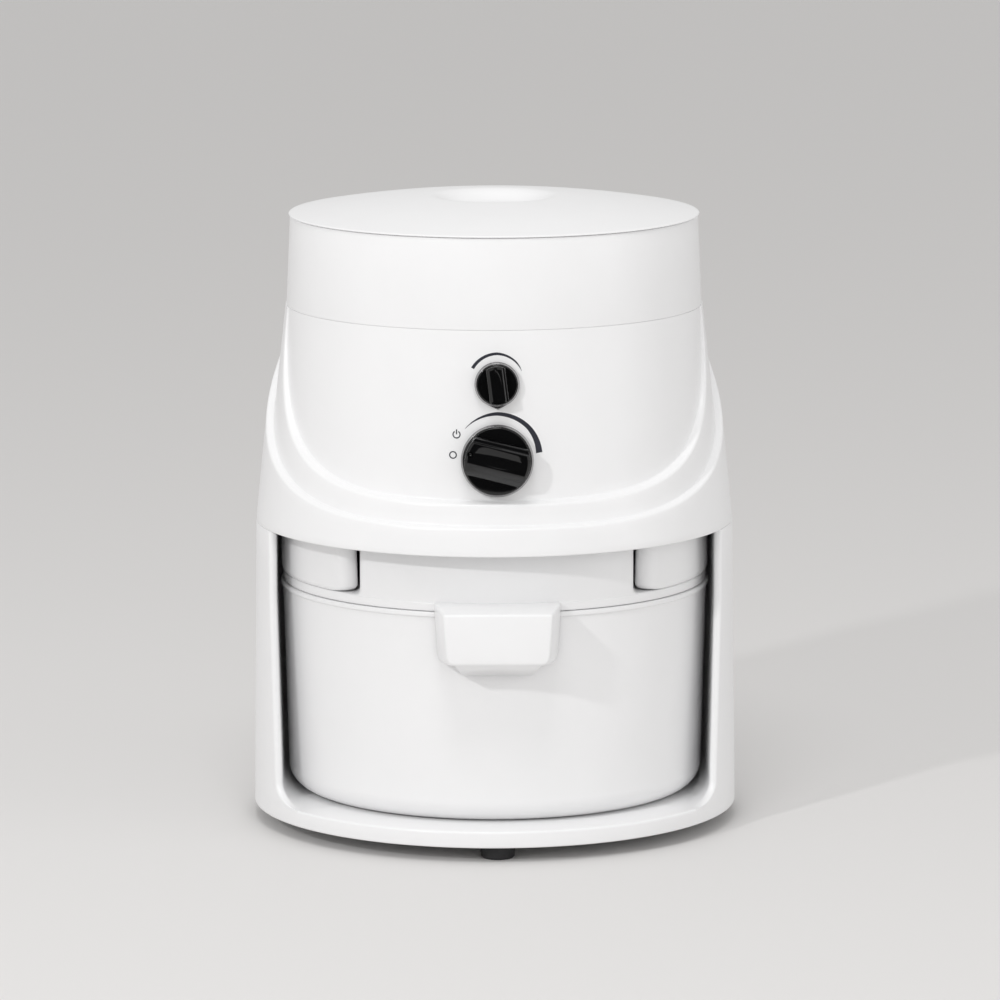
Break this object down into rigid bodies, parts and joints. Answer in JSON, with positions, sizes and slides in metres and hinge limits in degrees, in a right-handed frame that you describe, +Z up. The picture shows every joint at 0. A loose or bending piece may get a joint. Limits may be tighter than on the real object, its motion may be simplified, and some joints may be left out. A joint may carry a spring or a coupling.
{
  "type": "electric grain mill",
  "caption": "Round white electric grain mill with a slide-out flour bowl under the milling head, two black rotary knobs and a domed hopper lid.",
  "frame": {"origin": "floor level at the centre of the round base", "axes": "+Z up, -Y towards the front with the knobs and the bowl handle, +X to the right seen from the front"},
  "size_m": [0.264, 0.2776, 0.342],
  "materials": {
    "white_shell": "glossy moulded",
    "grey_plastic": "fine matte",
    "tub_plastic": "satin moulded",
    "soft_seal": "soft silicone",
    "foot_rubber": "matte",
    "cord_black": "matte",
    "filter_foam": "open-cell foam",
    "knob_black": "high gloss",
    "trim_chrome": "polished ring",
    "steel": "turned and plated",
    "milling_steel": "machined",
    "cast_alloy": "die-cast",
    "heat_sink_alloy": "extruded",
    "lamination_steel": "stacked laminations",
    "copper": "enamelled winding",
    "inner_black": "moulded",
    "carbon": "pressed graphite",
    "board_green": "solder mask",
    "cream_plastic": "nylon"
  },
  "bodies": {
    "stand": {"base_plate": "grey_plastic", "rubber_feet": "foot_rubber", "stand_shell": "white_shell", "housing_floor": "grey_plastic", "bowl_rails": "white_shell", "upper_housing": "white_shell", "rear_vent_grille": "grey_plastic", "cord_gland": "cord_black", "hopper_ring": "white_shell", "hopper_tub": "tub_plastic", "gate_housing": "tub_plastic", "gate_cap": "tub_plastic", "grain_chute": "tub_plastic", "power_switch": "inner_black", "speed_potentiometer": "steel", "potentiometer_nut": "steel", "control_board": "board_green", "board_heat_sink": "heat_sink_alloy", "board_standoffs": "cream_plastic", "chamber_body": "cast_alloy", "chamber_cover": "cast_alloy", "stationary_head": "milling_steel", "shaft_seal": "foot_rubber", "discharge_spout": "tub_plastic", "lower_bearing": "steel", "upper_bearing": "steel", "lower_end_bell": "cast_alloy", "upper_end_bell": "cast_alloy", "motor_stack": "lamination_steel", "field_coils": "copper", "brush_holders": "inner_black", "carbon_brushes": "carbon", "motor_posts": "steel", "stand_screws": "steel", "base_screws": "steel"},
    "lid": {"hopper_lid": "white_shell"},
    "bowl": {"flour_bowl": "white_shell", "bowl_cover": "white_shell", "bowl_gasket": "soft_seal", "inlet_gasket": "soft_seal", "separator_cup": "tub_plastic", "air_filter": "filter_foam", "filter_tray": "tub_plastic"},
    "feed_control": {"feed_knob": "knob_black", "feed_knob_trim": "trim_chrome", "feed_shaft": "steel", "feed_gate": "tub_plastic", "switch_cam": "cream_plastic"},
    "speed_control": {"speed_knob": "knob_black", "speed_knob_trim": "trim_chrome", "speed_shaft": "steel"},
    "rotor": {"motor_shaft": "steel", "armature": "lamination_steel", "commutator": "copper", "cooling_fan": "inner_black", "rotating_head": "milling_steel", "rotor_nut": "steel"}
  },
  "joints": [
    {"name": "lid_lift", "type": "slide", "parent": "stand", "child": "lid", "axis": [0, 0, 1], "range_m": [0, 0.06]},
    {"name": "bowl_slide", "type": "slide", "parent": "stand", "child": "bowl", "axis": [0, -1, 0], "range_m": [0, 0.25]},
    {"name": "feed_turn", "type": "hinge", "parent": "stand", "child": "feed_control", "pos_m": [0, -0.11628, 0.214], "axis": [0, 0.9987, -0.0506], "range_deg": [0, 160]},
    {"name": "speed_turn", "type": "hinge", "parent": "stand", "child": "speed_control", "pos_m": [0, -0.11424, 0.2543], "axis": [0, 0.9987, -0.0506], "range_deg": [-53, 70]},
    {"name": "motor_spin", "type": "hinge", "parent": "stand", "child": "rotor", "pos_m": [0, 0.01002, 0.2], "axis": [0, 0, 1], "continuous": true}
  ]
}
